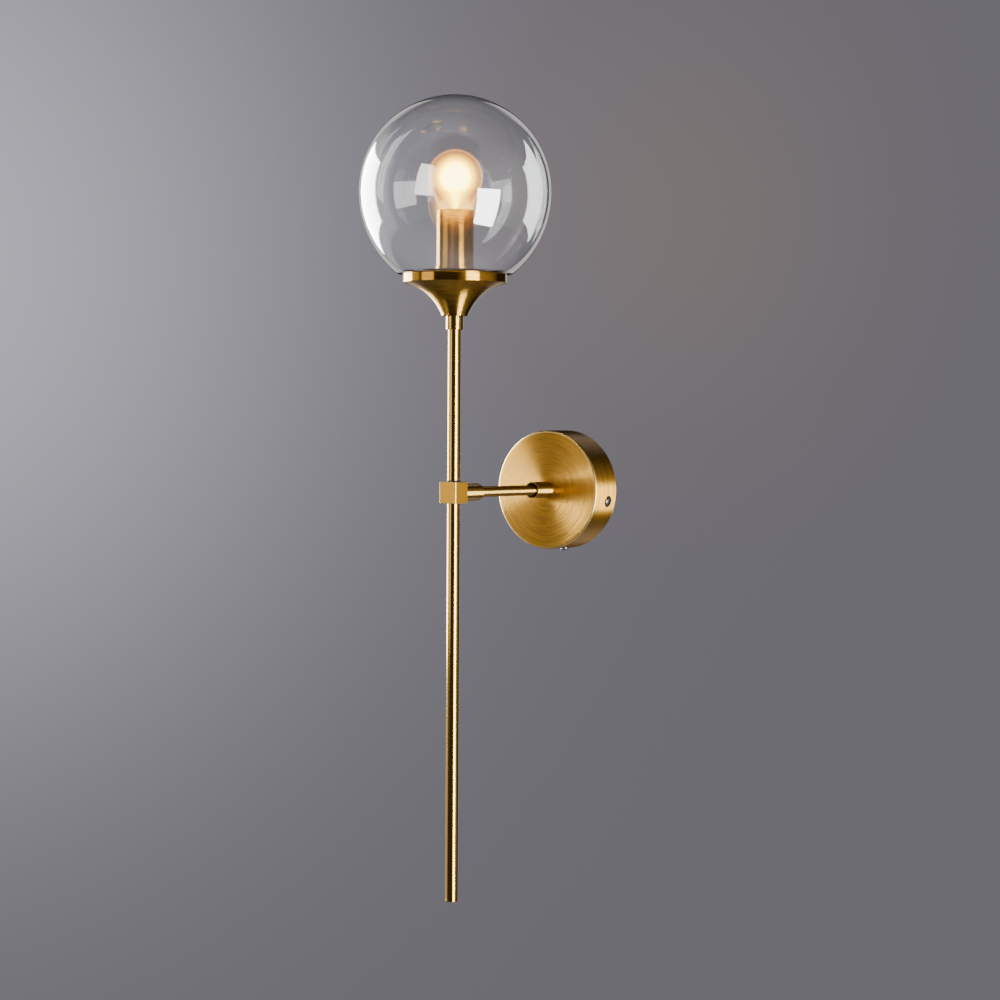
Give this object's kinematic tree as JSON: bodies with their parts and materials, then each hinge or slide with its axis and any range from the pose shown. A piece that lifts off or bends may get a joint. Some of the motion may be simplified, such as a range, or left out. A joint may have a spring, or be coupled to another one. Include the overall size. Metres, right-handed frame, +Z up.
{
  "type": "globe wall sconce",
  "caption": "Wall light with a round canopy, a short arm, a long vertical rod and a flared cup that holds a lit bulb in a clear glass globe.",
  "frame": {"origin": "centre of the canopy on the wall plane, at the wall screws' circle", "axes": "+X to the right seen from the room, +Y into the wall, +Z up along the rods"},
  "size_m": [0.15, 0.234, 0.6301],
  "materials": {
    "satin_brass": "brushed antique brass, lacquered",
    "bright_brass": "polished antique brass tube, lacquered",
    "plain_brass": "turned brass, unlacquered",
    "zinc_steel": "zinc-plated steel",
    "clear_glass": "clear blown glass",
    "bulb_clear_glass": "clear thin glass, lit from inside",
    "nickel_cap": "nickel-plated thin sheet",
    "black_glass": "black glass insulator",
    "solder": "tinned contact",
    "tungsten": "tungsten wire",
    "stem_glass": "clear glass stem",
    "black_fibre": "matt black washer",
    "silicone": "translucent silicone",
    "white_plastic": "moulded white plastic",
    "black_plastic": "moulded black heat-resistant plastic",
    "brown_insulation": "brown wire insulation",
    "blue_insulation": "blue wire insulation",
    "earth_insulation": "green and yellow wire insulation"
  },
  "bodies": {
    "fitting": {"wall_plate": "zinc_steel", "earth_screw": "zinc_steel", "earth_tag": "solder", "terminal_block": "white_plastic", "terminal_screws": "zinc_steel", "canopy_cover": "satin_brass", "canopy_screws": "zinc_steel", "canopy_nipple": "plain_brass", "canopy_nut": "plain_brass", "canopy_washer": "zinc_steel", "canopy_collar": "bright_brass", "arm_tube": "bright_brass", "block_collar": "bright_brass", "block_nipple": "plain_brass", "connector_block": "satin_brass", "rod_washer": "black_fibre", "upper_rod": "bright_brass", "upper_rod_nipple": "plain_brass", "lower_rod": "bright_brass", "lower_rod_stud": "plain_brass", "rod_end_plug": "bright_brass", "neck_ferrule": "bright_brass", "cup": "satin_brass", "cup_nipple": "plain_brass", "spacer_tube": "plain_brass", "socket_base_ring": "satin_brass", "socket_nut": "plain_brass", "glass_gasket": "silicone", "socket_sleeve": "satin_brass", "lampholder_body": "black_plastic", "lampholder_shell": "plain_brass", "lampholder_tongue": "plain_brass", "live_lead": "brown_insulation", "neutral_lead": "blue_insulation", "earth_lead": "earth_insulation"},
    "globe": {"glass_globe": "clear_glass"},
    "bulb_foot": {"bulb_contact": "solder"},
    "bulb": {"bulb_glass": "bulb_clear_glass", "bulb_cap": "nickel_cap", "cap_insulator": "black_glass", "bulb_stem": "stem_glass", "filament": "tungsten", "filament_supports": "nickel_cap"}
  },
  "joints": [
    {"name": "globe_lift", "type": "slide", "parent": "fitting", "child": "globe", "axis": [0, 0, 1], "range_m": [0, 0.12]},
    {"name": "bulb_rise", "type": "slide", "parent": "fitting", "child": "bulb_foot", "axis": [0, 0, 1], "range_m": [0, 0.0142]},
    {"name": "bulb_turn", "type": "hinge", "parent": "bulb_foot", "child": "bulb", "pos_m": [0, -0.159, 0.2], "axis": [0, 0, 1], "range_deg": [0, 1800]}
  ],
  "couplings": [
    {"joint": "bulb_rise", "follows": "bulb_turn", "m_per_rad": 0.00044882}
  ]
}
